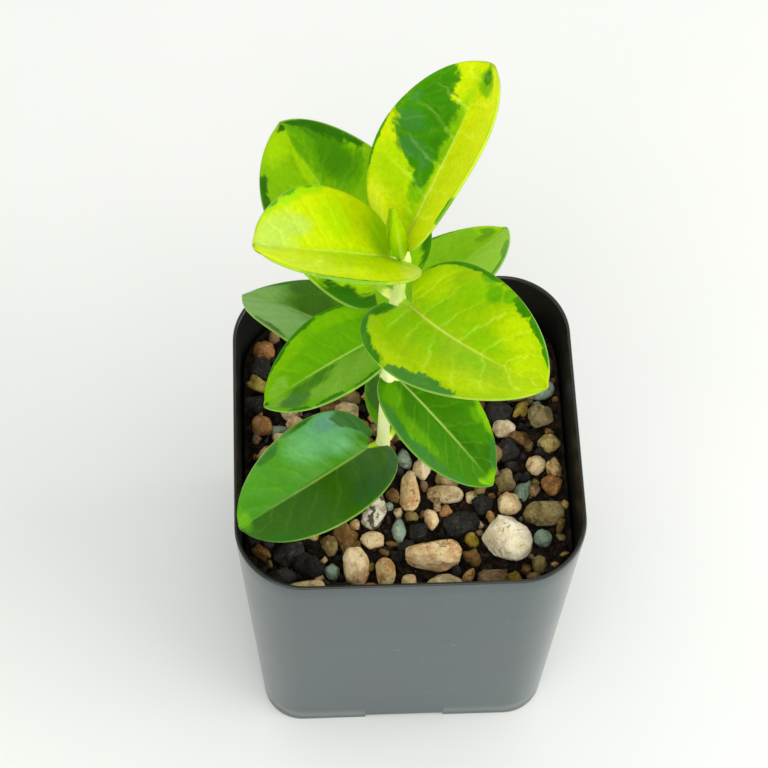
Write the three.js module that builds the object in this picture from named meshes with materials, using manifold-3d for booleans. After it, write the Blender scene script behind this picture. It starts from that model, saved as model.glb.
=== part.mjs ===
// A young variegated hoya in a square plastic nursery pot, topped with gravel.
// Millimetres, +Z up, the origin in the middle of the pot's foot, the pot's front towards -Y.
// The pot comes first, then the medium in it, the stem with its roots, the leaves and the gravel.
import * as THREE from "three";
import { mergeVertices } from "three/addons/utils/BufferGeometryUtils.js";
import Module from "manifold-3d";

const wasm = await Module();
wasm.setup();

// The pot
const POT_WIDTH = 75;
const POT_HEIGHT = 90;
const FOOT_WIDTH = 68;
const WALL = { foot: 0.9, rim: 0.8 };
const EDGE = 0.25;
const RIM_CORNER = 15;
const FOOT_CORNER = 9.5;
const FOOT_RING = 1.8;
const POT_SEGMENTS = 40;
const FLOOR_UNDERSIDE = 2;
const FLOOR_TOP = 3.2;
const FLOOR_CORNER = 1;
const FOOT_NOTCH = { width: 19, height: 1.8, depth: 6 };
const DRAIN_HOLE = { diameter: 8, fromMiddle: 17 };

// The medium, and the gap that touching pieces keep
const MEDIUM_TOP = 76;
const GAP = 0.3;

// The stem: it stands behind and left of the middle and leans a little to the right
const STEM_FOOT_Z = 58;
const STEM_TOP_Z = 172;
const STEM_RADIUS = { base: 1.4, top: 1.15, atNodes: 1.65 };
const STEM_LINE = new THREE.CatmullRomCurve3([
  new THREE.Vector3(-5.8, -6, STEM_FOOT_Z),
  new THREE.Vector3(-5.6, -6, 80),
  new THREE.Vector3(-5.2, -6, 108),
  new THREE.Vector3(-4.6, -6, 133),
  new THREE.Vector3(-3.4, -6, 155),
  new THREE.Vector3(-2.6, -6, STEM_TOP_Z),
]);
const NODE_Z = { lowest: 94.2, lower: 123.6, middle: 142.5, upper: 154.8, highest: 168.7 };
const ROOT_RADIUS = 0.7;
const ROOT_REACH = [
  { turn: 20, out: 20, down: 34 },
  { turn: 95, out: 16, down: 44 },
  { turn: 160, out: 22, down: 30 },
  { turn: 235, out: 15, down: 40 },
  { turn: 310, out: 23, down: 42 },
];

// The leaves. azimuth is the way a leaf points, seen from above and counted from +X, and pitch is
// its rise. roll tips it about its midrib, fold lifts both halves from the midrib, droop and sweep
// bend the midrib down and sideways, and twist turns the tip. shoulder and taper give the outline:
// less is blunter. lobe is how far the base reaches back, as a share of the length. petiole is the
// way from the middle of the stem to the leaf's base.
const LEAF_THICK = 1;
const PETIOLE_RADIUS = 0.85;
const LEAVES = [
  {
    name: "leaf_top_back_right",
    node: NODE_Z.highest,
    petiole: [0.7, 2.7, 2.6],
    length: 36,
    width: 25,
    azimuth: 54,
    pitch: 38,
    roll: -36,
    fold: 26,
    curl: -0.05,
    droop: -4,
    sweep: -1,
    twist: 19,
    shoulder: 0.36,
    taper: 0.53,
    lobe: 0.03,
    color: 0xb4d81e,
  },
  {
    name: "leaf_top_front_left",
    node: NODE_Z.highest,
    petiole: [-2.5, -1, 2.9],
    length: 33.2,
    width: 23.5,
    azimuth: 203,
    pitch: 41,
    roll: 9,
    fold: 26,
    curl: 0.04,
    droop: 4,
    sweep: -3,
    twist: -14,
    shoulder: 0.35,
    taper: 0.52,
    lobe: 0.07,
    color: 0xcae22e,
  },
  {
    name: "leaf_upper_back_left",
    node: NODE_Z.upper,
    petiole: [-3.8, 2.9, 2.1],
    length: 36,
    width: 27,
    azimuth: 124,
    pitch: 30,
    roll: 5,
    fold: 26,
    curl: -0.12,
    droop: 23,
    sweep: -8,
    twist: -35,
    shoulder: 0.35,
    taper: 0.7,
    lobe: 0.1,
    color: 0x8bbd10,
  },
  {
    name: "leaf_upper_front_right",
    node: NODE_Z.upper,
    petiole: [2.2, -2.8, 2.2],
    length: 38,
    width: 27,
    azimuth: -62,
    pitch: 29,
    roll: 13,
    fold: 22,
    curl: 0.11,
    droop: 14,
    sweep: 21,
    twist: 3,
    shoulder: 0.35,
    taper: 0.58,
    lobe: 0.11,
    color: 0x9cc818,
  },
  {
    name: "leaf_middle_back_right",
    node: NODE_Z.middle,
    petiole: [2.2, 2.7, -0.8],
    length: 33,
    width: 22,
    azimuth: 49,
    pitch: -8,
    roll: -21,
    fold: 18,
    curl: 0.02,
    droop: 3,
    sweep: -2,
    twist: -3,
    shoulder: 0.43,
    taper: 0.76,
    lobe: 0.1,
    color: 0x7cae28,
  },
  {
    name: "leaf_middle_front_left",
    node: NODE_Z.middle,
    petiole: [-1.9, -0.4, -0.7],
    length: 27.5,
    width: 19,
    azimuth: 199,
    pitch: -19,
    roll: 5,
    fold: 19,
    curl: 0.02,
    droop: 11,
    sweep: 2,
    twist: -2,
    shoulder: 0.44,
    taper: 0.73,
    lobe: 0.11,
    color: 0x62a212,
  },
  {
    name: "leaf_lower_back_left",
    node: NODE_Z.lower,
    petiole: [-2.3, 4.1, 0.5],
    length: 34.5,
    width: 23.5,
    azimuth: 135,
    pitch: -2,
    roll: 19,
    fold: 13,
    curl: 0.02,
    droop: 25,
    sweep: 9,
    twist: 3,
    shoulder: 0.44,
    taper: 0.74,
    lobe: 0.1,
    color: 0x5c8a2e,
  },
  {
    name: "leaf_lower_front_right",
    node: NODE_Z.lower,
    petiole: [2.4, -0.5, -0.6],
    length: 29,
    width: 19.5,
    azimuth: -44,
    pitch: -18,
    roll: -8,
    fold: 9,
    curl: -0.02,
    droop: 22,
    sweep: 6,
    twist: 6,
    shoulder: 0.41,
    taper: 0.72,
    lobe: 0.12,
    color: 0x54940c,
  },
  {
    name: "leaf_lowest_front_left",
    node: NODE_Z.lowest,
    petiole: [-3.4, -2, 1.6],
    length: 33,
    width: 23,
    azimuth: 223,
    pitch: 20,
    roll: -7,
    fold: 26,
    curl: -0.01,
    droop: 49,
    sweep: -20,
    twist: -22,
    shoulder: 0.42,
    taper: 0.65,
    lobe: 0.11,
    color: 0x3f7f0c,
  },
  {
    name: "leaf_lowest_back_right",
    node: NODE_Z.lowest,
    petiole: [2.7, 3.8, -0.4],
    length: 32,
    width: 21,
    azimuth: 64,
    pitch: -5,
    roll: 14,
    fold: 6,
    curl: 0.06,
    droop: 24,
    sweep: 6,
    twist: 0,
    shoulder: 0.42,
    taper: 0.73,
    lobe: 0.07,
    color: 0x3c7414,
  },
];
// The youngest pair still stands upright, the upper faces pressed together over the growing tip.
// The one at the back is a little shorter.
const YOUNG_LEAF = {
  lengths: { young_leaf_left: 12, young_leaf_right: 15 },
  width: 3.2,
  thick: 0.9,
  pitch: 82,
  azimuth: 105,
  apart: 0.95,
  fold: 10,
  droop: -14,
};
const YOUNG_LEAN = { back: 6, left: 7 };
const YOUNG_OFFSET = new THREE.Vector3(-0.8, -0.8, 2 * GAP);

// The gravel: middle of each stone, its size before it is turned, and its turn about Z in degrees.
// The stones stand on the medium, so a stone's height gives the height of its middle.
const STONE_COLORS = {
  cream: 0xdecfaa,
  tan: 0xb49a66,
  pale: 0xcabd95,
  streaked: 0xb5ae90,
  olive: 0x7d7a48,
  green: 0x8b9c86,
  orange: 0xb1894a,
  yellow: 0xab9a45,
  brown: 0x85724a,
  lava: 0x33302b,
};
const STONES = [
  { kind: "cream", at: [21, -22.8], size: [12.5, 9.5, 8], turn: -50 },
  { kind: "tan", at: [5, -25.9], size: [12.6, 8, 7], turn: 4 },
  { kind: "pale", at: [7.2, -32.4], size: [8, 4.4, 4.4], turn: 3 },
  { kind: "tan", at: [-11.6, -28.4], size: [6, 10.4, 6.5], turn: 8 },
  { kind: "tan", at: [-5.7, -29.6], size: [5, 8, 5], turn: -6 },
  { kind: "tan", at: [-8.2, -21.6], size: [5.6, 4.2, 4], turn: 0 },
  { kind: "tan", at: [-0.4, -31.8], size: [3.6, 4.6, 3.6], turn: 10 },
  { kind: "streaked", at: [-7.4, -14.6], size: [5.6, 9.4, 5], turn: -20 },
  { kind: "tan", at: [0.8, -10.2], size: [5, 9.6, 5], turn: -8 },
  { kind: "pale", at: [8.4, -11], size: [8.6, 4.6, 4], turn: -8 },
  { kind: "tan", at: [5.2, -17], size: [3.4, 6.2, 4], turn: 20 },
  { kind: "green", at: [-2.3, -19.2], size: [3.2, 6.6, 3.6], turn: 12 },
  { kind: "green", at: [-0.4, -2], size: [3.2, 5.6, 3.4], turn: 20 },
  { kind: "lava", at: [1.9, -19.9], size: [4.6, 4.2, 4], turn: 0 },
  { kind: "lava", at: [11.6, -18.4], size: [8, 6.4, 5], turn: 10 },
  { kind: "lava", at: [16.4, -13.8], size: [5, 4.8, 4.6], turn: 30 },
  { kind: "tan", at: [22, -13.8], size: [6.2, 5.6, 5], turn: 20 },
  { kind: "olive", at: [29.6, -16.4], size: [9.4, 6.4, 5.4], turn: 6 },
  { kind: "green", at: [29, -22.2], size: [4.2, 4, 3.8], turn: -30 },
  { kind: "brown", at: [17.6, -31.4], size: [8, 4.6, 4], turn: 0 },
  { kind: "olive", at: [28, -28.4], size: [3.8, 4.2, 3.6], turn: 15 },
  { kind: "orange", at: [32, -9.8], size: [4.8, 4.8, 4.2], turn: 0 },
  { kind: "tan", at: [28.8, -4.6], size: [4.4, 4.8, 4], turn: 30 },
  { kind: "yellow", at: [32, 0.8], size: [5.6, 4.6, 4.4], turn: 20 },
  { kind: "yellow", at: [16.6, -7.6], size: [5, 3.6, 3.4], turn: 0 },
  { kind: "green", at: [-16.8, -28.6], size: [3.6, 3.8, 3.6], turn: 40 },
  { kind: "tan", at: [-22.6, -32.2], size: [8.4, 3.4, 4], turn: 4 },
  { kind: "lava", at: [-26, -24], size: [7, 5.6, 4.6], turn: 25 },
  { kind: "olive", at: [30.6, 7.4], size: [6.6, 5.8, 5], turn: 10 },
  { kind: "green", at: [31.6, 14], size: [6, 4.4, 3.8], turn: 30 },
  { kind: "lava", at: [21.4, 8.4], size: [6.8, 6.2, 5.4], turn: 0 },
  { kind: "lava", at: [22.4, -1], size: [5.6, 5.2, 5], turn: 45 },
  { kind: "orange", at: [-31, 25.4], size: [5.4, 5.4, 5], turn: 0 },
  { kind: "orange", at: [-31.6, 6.8], size: [4.8, 5.4, 4.6], turn: 15 },
  { kind: "tan", at: [-30.6, 0], size: [5, 4.8, 4.4], turn: 35 },
  { kind: "pale", at: [-25, 10.4], size: [5.6, 4.6, 4], turn: -20 },
  { kind: "tan", at: [-17, -8], size: [7, 6, 5], turn: 15 },
  { kind: "lava", at: [-24.5, -12.5], size: [7, 6, 5], turn: 50 },
  { kind: "tan", at: [10, 7], size: [7, 6, 5], turn: -25 },
  { kind: "olive", at: [-12, 13], size: [6, 5, 4.4], turn: 0 },
  { kind: "tan", at: [1, 23], size: [7, 6, 5], turn: 70 },
  { kind: "lava", at: [-19.5, 26], size: [6.4, 5.8, 5], turn: 10 },
  { kind: "cream", at: [18, 26], size: [6, 5, 4.6], turn: -35 },
  { kind: "brown", at: [8.4, -3.4], size: [6, 4.8, 4.2], turn: 5 },
];

const plant = new THREE.Group();

function finish(color, roughness) {
  return new THREE.MeshStandardMaterial({ color, roughness, metalness: 0 });
}

function addMesh(name, geometry, material) {
  const mesh = new THREE.Mesh(geometry, material);
  mesh.name = name;
  plant.add(mesh);
  return mesh;
}

// A closed geometry as a solid that can be joined and cut.
function solidOf(geometry) {
  const bare = geometry.clone();
  bare.deleteAttribute("normal");
  bare.deleteAttribute("uv");
  const merged = mergeVertices(bare, 1e-3);
  return new wasm.Manifold(
    new wasm.Mesh({
      numProp: 3,
      vertProperties: new Float32Array(merged.attributes.position.array),
      triVerts: new Uint32Array(merged.index.array),
    }),
  );
}

function geometryOf(solid) {
  const { vertProperties, triVerts } = solid.getMesh();
  const geometry = new THREE.BufferGeometry();
  geometry.setAttribute("position", new THREE.BufferAttribute(vertProperties, 3));
  geometry.setIndex(new THREE.BufferAttribute(triVerts, 1));
  geometry.computeVertexNormals();
  return geometry;
}

function moveVertices(geometry, move) {
  const position = geometry.attributes.position;
  const point = new THREE.Vector3();
  for (let i = 0; i < position.count; i += 1) {
    point.fromBufferAttribute(position, i);
    move(point);
    position.setXYZ(i, point.x, point.y, point.z);
  }
  return geometry;
}

// A square section with round corners, as the place of one angle on it.
// A fifth of each quarter turn runs along the straight at either end, and the rest round the corner.
function squarePoint(half, corner, angle) {
  const quarter = Math.PI / 2;
  const turns = Math.floor(angle / quarter + 1e-6);
  const t = Math.max(0, angle / quarter - turns);
  const straight = half - corner;
  const place = new THREE.Vector2();
  if (t < 0.2) {
    place.set(half, (straight * t) / 0.2);
  } else if (t < 0.8) {
    const a = ((t - 0.2) / 0.6) * quarter;
    place.set(straight + corner * Math.cos(a), straight + corner * Math.sin(a));
  } else {
    place.set((straight * (1 - t)) / 0.2, half);
  }
  return place.rotateAround(new THREE.Vector2(), turns * quarter);
}

// Turns a profile of half widths and heights into a square body with round corners.
function squareBody(profile) {
  const segments = POT_SEGMENTS;
  const lathe = new THREE.LatheGeometry(profile, segments).rotateX(Math.PI / 2);
  return moveVertices(lathe, (p) => {
    const half = Math.hypot(p.x, p.y);
    if (half < 1e-6) return;
    const step = (Math.PI * 2) / segments;
    const angle = Math.round(Math.atan2(p.y, p.x) / step) * step;
    const rise = THREE.MathUtils.clamp(p.z / POT_HEIGHT, 0, 1);
    const outside = THREE.MathUtils.lerp(FOOT_WIDTH, POT_WIDTH, rise) / 2;
    const corner = THREE.MathUtils.lerp(FOOT_CORNER, RIM_CORNER, rise) * (half / outside);
    const place = squarePoint(half, corner, (angle + Math.PI * 2) % (Math.PI * 2));
    p.x = place.x;
    p.y = place.y;
  });
}

// Half the inside width of the pot at a height.
const INSIDE_FOOT = FOOT_WIDTH / 2 - WALL.foot;
const INSIDE_RIM = POT_WIDTH / 2 - WALL.rim;
function insideAt(z) {
  const foot = FLOOR_TOP + FLOOR_CORNER;
  const rise = (z - foot) / (POT_HEIGHT - EDGE - foot);
  return THREE.MathUtils.lerp(INSIDE_FOOT, INSIDE_RIM, rise);
}

// The pot: one thin wall that flares to a plain rounded edge, on a raised floor with drain holes
function potGeometry() {
  const foot = FOOT_WIDTH / 2;
  const rim = POT_WIDTH / 2;
  const profile = [
    [0, FLOOR_UNDERSIDE],
    [foot - FOOT_RING - 0.2, FLOOR_UNDERSIDE],
    [foot - FOOT_RING, 0],
    [foot, 0],
    [rim, POT_HEIGHT - EDGE],
    [rim - EDGE, POT_HEIGHT],
    [INSIDE_RIM + EDGE, POT_HEIGHT],
    [INSIDE_RIM, POT_HEIGHT - EDGE],
    [INSIDE_FOOT, FLOOR_TOP + FLOOR_CORNER],
    [INSIDE_FOOT - FLOOR_CORNER, FLOOR_TOP],
    [0, FLOOR_TOP],
  ].map(([r, z]) => new THREE.Vector2(r, z));
  let pot = solidOf(squareBody(profile));

  const { width, height, depth } = FOOT_NOTCH;
  for (let side = 0; side < 4; side += 1) {
    const notch = new THREE.BoxGeometry(depth, width, height * 2);
    notch.translate(foot - 1, 0, 0).rotateZ((side * Math.PI) / 2);
    pot = pot.subtract(solidOf(notch));
  }
  const { diameter, fromMiddle } = DRAIN_HOLE;
  const holePlaces = [
    [0, 0],
    [fromMiddle, fromMiddle],
    [-fromMiddle, fromMiddle],
    [-fromMiddle, -fromMiddle],
    [fromMiddle, -fromMiddle],
  ];
  for (const [x, y] of holePlaces) {
    const hole = new THREE.CylinderGeometry(diameter / 2, diameter / 2, 6, 16).rotateX(Math.PI / 2);
    hole.translate(x, y, FLOOR_TOP);
    pot = pot.subtract(solidOf(hole));
  }
  return geometryOf(pot);
}

addMesh("pot", potGeometry(), finish(0x4c5a58, 0.45));

// The stem, one grown piece with its roots. grow makes it thicker all over, to cut its way
// through the medium and to end the petioles on its bark.
const STEM_STEPS = STEM_LINE.getPoints(60);
function stemPoint(z) {
  const height = THREE.MathUtils.clamp(z, STEM_FOOT_Z, STEM_TOP_Z);
  const next = STEM_STEPS.findIndex((p, i) => i > 0 && p.z >= height - 1e-6);
  const below = STEM_STEPS[next - 1];
  const above = STEM_STEPS[next];
  return below.clone().lerp(above, (height - below.z) / (above.z - below.z));
}

function stemRadius(z) {
  const rise = (z - STEM_FOOT_Z) / (STEM_TOP_Z - STEM_FOOT_Z);
  const plain = THREE.MathUtils.lerp(STEM_RADIUS.base, STEM_RADIUS.top, rise);
  const swelling = Object.values(NODE_Z)
    .map((node) => Math.exp(-(((z - node) / 1.8) ** 2)))
    .reduce((a, b) => Math.max(a, b), 0);
  return plain + (STEM_RADIUS.atNodes - plain) * swelling;
}

function rootGeometry({ turn, out, down }, grow) {
  const angle = THREE.MathUtils.degToRad(turn);
  const start = stemPoint(STEM_FOOT_Z + 3);
  const reach = (share, drop) =>
    start
      .clone()
      .add(new THREE.Vector3(Math.cos(angle) * out * share, Math.sin(angle) * out * share, -drop));
  const path = new THREE.CatmullRomCurve3([
    start,
    reach(0.35, down * 0.12),
    reach(0.75, down * 0.45),
    reach(1, down + 2 * grow),
  ]);
  const outline = new THREE.Shape().absarc(0, 0, ROOT_RADIUS + grow, 0, Math.PI * 2);
  return new THREE.ExtrudeGeometry(outline, { steps: 6, curveSegments: 3, extrudePath: path });
}

function stemSolid(grow) {
  const bottom = STEM_FOOT_Z - grow;
  const top = STEM_TOP_Z + grow;
  const profile = [new THREE.Vector2(0, bottom), new THREE.Vector2(1 + grow, bottom)];
  const heights = [STEM_FOOT_Z + 3, 70, 80, 88];
  for (const node of Object.values(NODE_Z)) {
    heights.push(node - 3, node - 1.2, node, node + 1.2, node + 3);
  }
  heights.sort((a, b) => a - b);
  for (const z of heights) {
    profile.push(new THREE.Vector2(stemRadius(z) + grow, z));
  }
  profile.push(new THREE.Vector2(0.7 + grow, top));
  profile.push(new THREE.Vector2(0, top));
  const lathe = new THREE.LatheGeometry(profile, 12).rotateX(Math.PI / 2);
  moveVertices(lathe, (p) => {
    const middle = stemPoint(p.z);
    p.x += middle.x;
    p.y += middle.y;
  });
  return ROOT_REACH.reduce(
    (solid, root) => solid.add(solidOf(rootGeometry(root, grow))),
    solidOf(lathe),
  );
}

addMesh("stem", geometryOf(stemSolid(0)), finish(0xd9e4a0, 0.55));

// The growing medium fills the pot under the gravel and leaves room for the roots.
const roomForStem = stemSolid(GAP);
const mediumProfile = [
  [0, FLOOR_TOP + GAP],
  [INSIDE_FOOT - FLOOR_CORNER - GAP, FLOOR_TOP + GAP],
  [INSIDE_FOOT - GAP, FLOOR_TOP + FLOOR_CORNER + GAP],
  [insideAt(MEDIUM_TOP) - GAP, MEDIUM_TOP],
  [0, MEDIUM_TOP],
].map(([r, z]) => new THREE.Vector2(r, z));
const medium = solidOf(squareBody(mediumProfile)).subtract(roomForStem);
addMesh("growing_medium", geometryOf(medium), finish(0x2a211a, 1));

// A leaf blade in its own frame: +X runs from the base to the tip, and +Z is the upper face.
function outlineShare(s, { shoulder, taper }) {
  const widest = shoulder / (shoulder + taper);
  return (s / widest) ** shoulder * ((1 - s) / (1 - widest)) ** taper;
}

// The midrib's place and frame at a share of the length, walked in small steps from the base.
function midribFrame(t, { length, droop, sweep, twist }) {
  const rad = THREE.MathUtils.degToRad;
  const heading = (share) =>
    new THREE.Vector3(
      Math.cos(rad(droop * share)) * Math.cos(rad(sweep * share)),
      Math.cos(rad(droop * share)) * Math.sin(rad(sweep * share)),
      -Math.sin(rad(droop * share)),
    );
  const steps = 12;
  const place = new THREE.Vector3();
  for (let i = 0; i < steps; i += 1) {
    place.addScaledVector(heading((t * (i + 0.5)) / steps), (length * t) / steps);
  }
  const along = heading(t);
  const side = new THREE.Vector3(-Math.sin(rad(sweep * t)), Math.cos(rad(sweep * t)), 0);
  side.applyAxisAngle(along, rad(twist * t));
  const up = new THREE.Vector3().crossVectors(along, side);
  return { place, side, up };
}

function bladeGeometry(leaf, thick, around, rings) {
  const { length, width, lobe, fold, curl } = leaf;
  const crease = 0.3; // the midrib's fold is rounded over this much to each side
  const ball = new THREE.SphereGeometry(1, around, rings);
  return moveVertices(ball, (p) => {
    const s = THREE.MathUtils.clamp((1 - p.y) / 2, 0, 1);
    const ring = Math.sqrt(Math.max(0, 1 - p.y * p.y));
    const across = ring > 1e-6 ? p.x / ring : 0;
    const through = ring > 1e-6 ? p.z / ring : 0;
    const half = ring > 1e-6 ? (width / 2) * outlineShare(s, leaf) : 0;
    const out = half * across;
    const share = s - lobe * across * across * (1 - s) ** 3;
    const lift = Math.tan(THREE.MathUtils.degToRad(fold)) * (Math.hypot(out, crease) - crease);
    const bend = (curl * out * out) / (width / 2);
    const body = (thick / 2) * through * Math.min(1, 3 * ring);
    const { place, side, up } = midribFrame(share, leaf);
    p.copy(place).addScaledVector(side, out).addScaledVector(up, lift - bend + body);
  });
}

// A grown leaf: its blade, joined to a short petiole that ends on the stem.
function leafMesh(leaf) {
  const rad = THREE.MathUtils.degToRad;
  const nodePoint = stemPoint(leaf.node);
  const base = nodePoint.clone().add(new THREE.Vector3(...leaf.petiole));
  const placing = new THREE.Object3D();
  placing.position.copy(base);
  placing.rotation.set(rad(leaf.roll), -rad(leaf.pitch), rad(leaf.azimuth), "ZYX");
  placing.updateMatrix();
  const toLeaf = placing.matrix.clone().invert();

  const start = nodePoint.applyMatrix4(toLeaf);
  const middle = new THREE.Vector3(-0.6, 0, -0.5);
  const end = midribFrame(0.1, leaf).place.add(new THREE.Vector3(0, 0, -0.15));
  const path = new THREE.CatmullRomCurve3([start, middle, end]);
  const outline = new THREE.Shape().absarc(0, 0, PETIOLE_RADIUS, 0, Math.PI * 2);
  const petiole = new THREE.ExtrudeGeometry(outline, {
    steps: 4,
    curveSegments: 4,
    extrudePath: path,
  });
  const stem = stemSolid(GAP).transform(toLeaf.elements);
  const blade = solidOf(bladeGeometry(leaf, LEAF_THICK, 14, 13));
  const mesh = addMesh(
    leaf.name,
    geometryOf(blade.add(solidOf(petiole)).subtract(stem)),
    finish(leaf.color, 0.4),
  );
  mesh.position.copy(placing.position);
  mesh.rotation.copy(placing.rotation);
}

LEAVES.forEach(leafMesh);

// The young pair stands on the stem's tip, one leaf each side of it.
const youngPair = new THREE.Group();
youngPair.position.copy(stemPoint(STEM_TOP_Z)).add(YOUNG_OFFSET);
youngPair.rotation.x = -THREE.MathUtils.degToRad(YOUNG_LEAN.back);
youngPair.rotation.y = -THREE.MathUtils.degToRad(YOUNG_LEAN.left);
plant.add(youngPair);
const youngSides = [
  { name: "young_leaf_left", turn: 0 },
  { name: "young_leaf_right", turn: 180 },
];
for (const { name, turn } of youngSides) {
  const plainBlade = { sweep: 0, twist: 0, curl: 0, lobe: 0, shoulder: 0.5, taper: 0.9 };
  const shape = { ...YOUNG_LEAF, ...plainBlade, length: YOUNG_LEAF.lengths[name] };
  const angle = THREE.MathUtils.degToRad(YOUNG_LEAF.azimuth + turn);
  const mesh = addMesh(name, bladeGeometry(shape, YOUNG_LEAF.thick, 8, 8), finish(0xa2c41c, 0.4));
  mesh.position.set(Math.cos(angle), Math.sin(angle), 0).multiplyScalar(YOUNG_LEAF.apart);
  mesh.rotation.set(0, -THREE.MathUtils.degToRad(YOUNG_LEAF.pitch), angle, "ZYX");
  youngPair.add(mesh);
}

// A stone: a ball squared off a little and made lumpy, each in its own way.
function stoneGeometry([length, width, height], rough, seed) {
  const detail = length > 8 ? 2 : 1;
  const squareness = 2.5;
  const ball = new THREE.IcosahedronGeometry(1, detail);
  return moveVertices(ball, (p) => {
    const sum =
      Math.abs(p.x) ** squareness + Math.abs(p.y) ** squareness + Math.abs(p.z) ** squareness;
    const lumps =
      Math.sin(2.1 * p.x + seed) + Math.sin(2.7 * p.y + 1.7 * seed) + Math.sin(2.4 * p.z + 2.3 * seed);
    p.multiplyScalar(sum ** (-1 / squareness) * (0.94 + (rough * lumps) / 3));
    p.set((p.x * length) / 2, (p.y * width) / 2, (p.z * height) / 2);
  });
}

STONES.forEach(({ kind, at, size, turn }, index) => {
  const rough = kind === "lava" ? 0.1 : 0.06;
  const name = `stone_${String(index + 1).padStart(2, "0")}_${kind}`;
  const geometry = stoneGeometry(size, rough, index + 1);
  const mesh = addMesh(name, geometry, finish(STONE_COLORS[kind], 0.85));
  mesh.rotation.z = THREE.MathUtils.degToRad(turn);
  geometry.computeBoundingBox();
  mesh.position.set(at[0], at[1], MEDIUM_TOP + GAP - geometry.boundingBox.min.z);
});

export default plant;
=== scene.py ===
# A young variegated hoya in a square nursery pot, topped with gravel, on a pale floor.
# Shapes are given in millimetres, and become metres where a mesh is made a piece.
import math
import random

import bmesh
import bpy
from mathutils import Euler, Matrix, Vector, noise


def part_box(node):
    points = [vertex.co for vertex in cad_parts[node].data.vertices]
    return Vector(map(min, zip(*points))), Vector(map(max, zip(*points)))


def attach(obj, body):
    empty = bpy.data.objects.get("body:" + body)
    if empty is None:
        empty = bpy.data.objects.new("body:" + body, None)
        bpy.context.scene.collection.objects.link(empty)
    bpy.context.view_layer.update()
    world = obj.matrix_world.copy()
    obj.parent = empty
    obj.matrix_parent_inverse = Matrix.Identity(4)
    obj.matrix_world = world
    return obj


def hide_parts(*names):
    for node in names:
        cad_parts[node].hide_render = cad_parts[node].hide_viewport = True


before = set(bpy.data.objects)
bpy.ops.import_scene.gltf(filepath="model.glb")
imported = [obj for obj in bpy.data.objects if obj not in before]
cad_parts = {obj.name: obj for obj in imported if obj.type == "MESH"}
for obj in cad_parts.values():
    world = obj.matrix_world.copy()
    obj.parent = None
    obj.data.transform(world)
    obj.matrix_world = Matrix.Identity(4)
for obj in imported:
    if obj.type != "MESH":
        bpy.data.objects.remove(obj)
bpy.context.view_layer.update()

mm = 0.001
scene = bpy.context.scene

# Camera
# It looks down at the pot's front from a little left of the middle, through a long lens.
PHOTO_WIDTH_PX = 768
FOCAL_PX = 2221.8
SENSOR_WIDTH = 36
camera_data = bpy.data.cameras.new("camera")
camera_data.sensor_width = SENSOR_WIDTH
camera_data.lens = FOCAL_PX / PHOTO_WIDTH_PX * SENSOR_WIDTH
camera_data.clip_end = 20
camera = bpy.data.objects.new("camera", camera_data)
scene.collection.objects.link(camera)
CAMERA_PLACE = Vector((-19.57, -218.33, 519.52))
camera_right = Vector((0.999125, -0.039295, 0.014287))
camera_back = Vector((-0.031099, -0.470015, 0.882111))
camera_up = camera_back.cross(camera_right)
camera_turn = Matrix((camera_right, camera_up, camera_back)).transposed().to_4x4()
camera.matrix_world = Matrix.Translation(CAMERA_PLACE * mm) @ camera_turn
scene.camera = camera

# Light
# A bright room: pale walls all round, a wide soft window low on the right, and another in front.
# Places and sizes here are in metres.
WALL_COLOR, WALL_BRIGHTNESS = (0.99, 1.0, 0.98), 0.75
LIT_PLACE = Vector((0, 0, 0.08))
scene.view_settings.view_transform = "Standard"
room = bpy.data.worlds.new("room")
room.use_nodes = True
walls = room.node_tree.nodes["Background"]
walls.inputs["Color"].default_value = (*WALL_COLOR, 1)
walls.inputs["Strength"].default_value = WALL_BRIGHTNESS
scene.world = room


def soft_window(name, azimuth, height, away, size, power, color):
    """A soft rectangle of light that faces the plant. Its direction is given in degrees."""
    around, up = math.radians(azimuth), math.radians(height)
    flat = Vector((math.cos(around), math.sin(around), 0)) * math.cos(up)
    place = (flat + Vector((0, 0, math.sin(up)))) * away
    lamp = bpy.data.lights.new(name, "AREA")
    lamp.shape = "RECTANGLE"
    lamp.size, lamp.size_y = size
    lamp.energy = power
    lamp.color = color
    light = bpy.data.objects.new(name, lamp)
    light.location = place
    light.rotation_euler = (LIT_PLACE - place).to_track_quat("-Z", "Y").to_euler()
    scene.collection.objects.link(light)


soft_window("right_window", -17, 31, 1.4, (1.4, 0.8), 10, (1.0, 0.99, 0.97))
soft_window("front_window", -100, 50, 1.5, (1.5, 1.0), 7.8, (0.98, 1.0, 1.0))


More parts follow.
